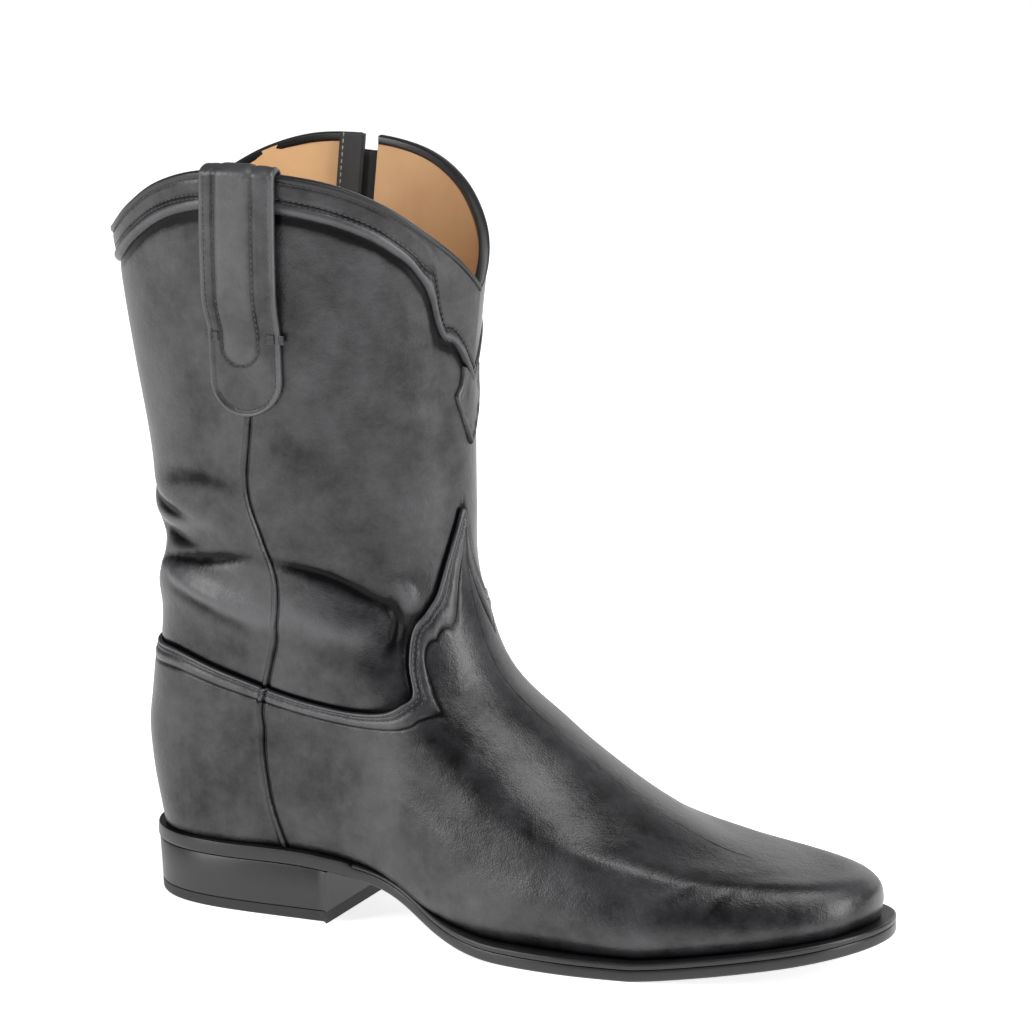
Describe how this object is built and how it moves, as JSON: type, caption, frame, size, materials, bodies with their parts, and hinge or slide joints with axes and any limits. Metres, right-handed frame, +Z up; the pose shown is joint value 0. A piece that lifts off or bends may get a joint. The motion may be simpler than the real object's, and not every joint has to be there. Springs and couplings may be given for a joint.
{
  "type": "roper boot",
  "caption": "Right-foot roper boot in black leather, with a round toe, low block heel, scalloped collar, side pull strap and inner side zip.",
  "frame": {"origin": "middle of the heel's base, on the floor", "axes": "+X towards the toe, +Y towards the inner side of the foot, +Z up"},
  "size_m": [0.3177, 0.1128, 0.2944],
  "materials": {
    "upper_leather": "smooth black calf leather, semi-gloss",
    "strap_leather": "smooth black leather strap, semi-gloss",
    "guard_leather": "matt black leather facing",
    "insole_leather": "natural tan leather",
    "sole_leather": "black dyed and burnished sole edge",
    "welt_leather": "black dyed welt",
    "heel_stack": "black stacked heel, satin",
    "heel_rubber": "matt black top lift",
    "zip_tape": "black woven tape with a moulded chain",
    "zip_metal": "dark nickel"
  },
  "bodies": {
    "boot": {"outsole": "sole_leather", "welt": "welt_leather", "heel_block": "heel_stack", "heel_cap": "heel_rubber", "insole": "insole_leather", "upper": "upper_leather", "pull_strap": "strap_leather", "zip_tape": "zip_tape", "zip_guard": "guard_leather", "zip_slider": "zip_metal"},
    "pull": {"zip_pull": "zip_metal"}
  },
  "joints": [
    {"name": "pull_swing", "type": "hinge", "parent": "boot", "child": "pull", "pos_m": [0.02329, 0.05463, 0.27843], "axis": [0.9964, -0.0805, 0.0254], "range_deg": [0, 165]}
  ]
}
